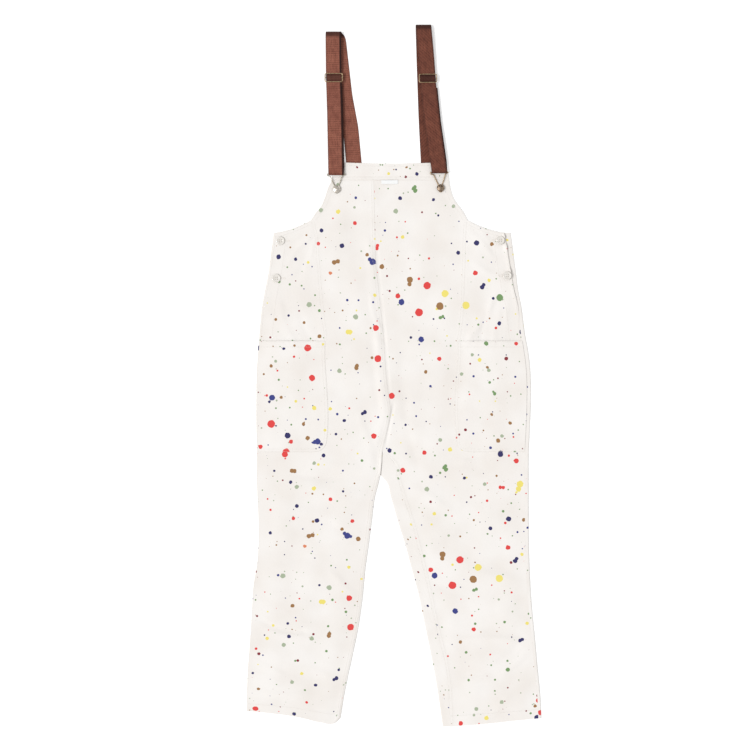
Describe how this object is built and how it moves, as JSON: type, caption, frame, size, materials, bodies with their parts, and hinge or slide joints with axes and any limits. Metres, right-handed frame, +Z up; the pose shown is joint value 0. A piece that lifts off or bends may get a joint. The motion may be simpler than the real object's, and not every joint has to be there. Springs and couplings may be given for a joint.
{
  "type": "bib overalls",
  "caption": "Wide-legged cotton bib overalls laid flat, front up, with patch pockets, side openings, webbing straps and wire sliders and clasps.",
  "frame": {"origin": "centre of the footprint, on the surface that the garment lies on", "axes": "+X to the viewer's right across the garment, +Y from the hems to the shoulder straps, +Z up off the surface, the front up"},
  "size_m": [0.687, 1.634, 0.0141],
  "materials": {
    "spattered_cotton": "plain weave cotton drill, off-white, with a printed spatter of dots",
    "webbing": "ribbed reddish brown cotton webbing",
    "brass_wire": "bent wire, a little dulled",
    "bronze_cap": "antique bronze pressed cap",
    "pearl_button": "polished off-white",
    "label_white": "bare woven tape"
  },
  "bodies": {
    "root": {"bib_band": "spattered_cotton", "label": "label_white", "front_left": "spattered_cotton", "front_right": "spattered_cotton", "side_panel_left": "spattered_cotton", "side_panel_right": "spattered_cotton", "pocket_left": "spattered_cotton", "pocket_right": "spattered_cotton", "back_left": "spattered_cotton", "back_right": "spattered_cotton", "strap_left": "webbing", "strap_right": "webbing", "slider_left": "brass_wire", "slider_right": "brass_wire", "clasp_left": "brass_wire", "clasp_right": "brass_wire", "tack_button_left": "bronze_cap", "tack_button_right": "bronze_cap", "side_button_left_upper": "pearl_button", "side_button_left_lower": "pearl_button", "side_button_right_upper": "pearl_button", "side_button_right_lower": "pearl_button"}
  },
  "joints": []
}
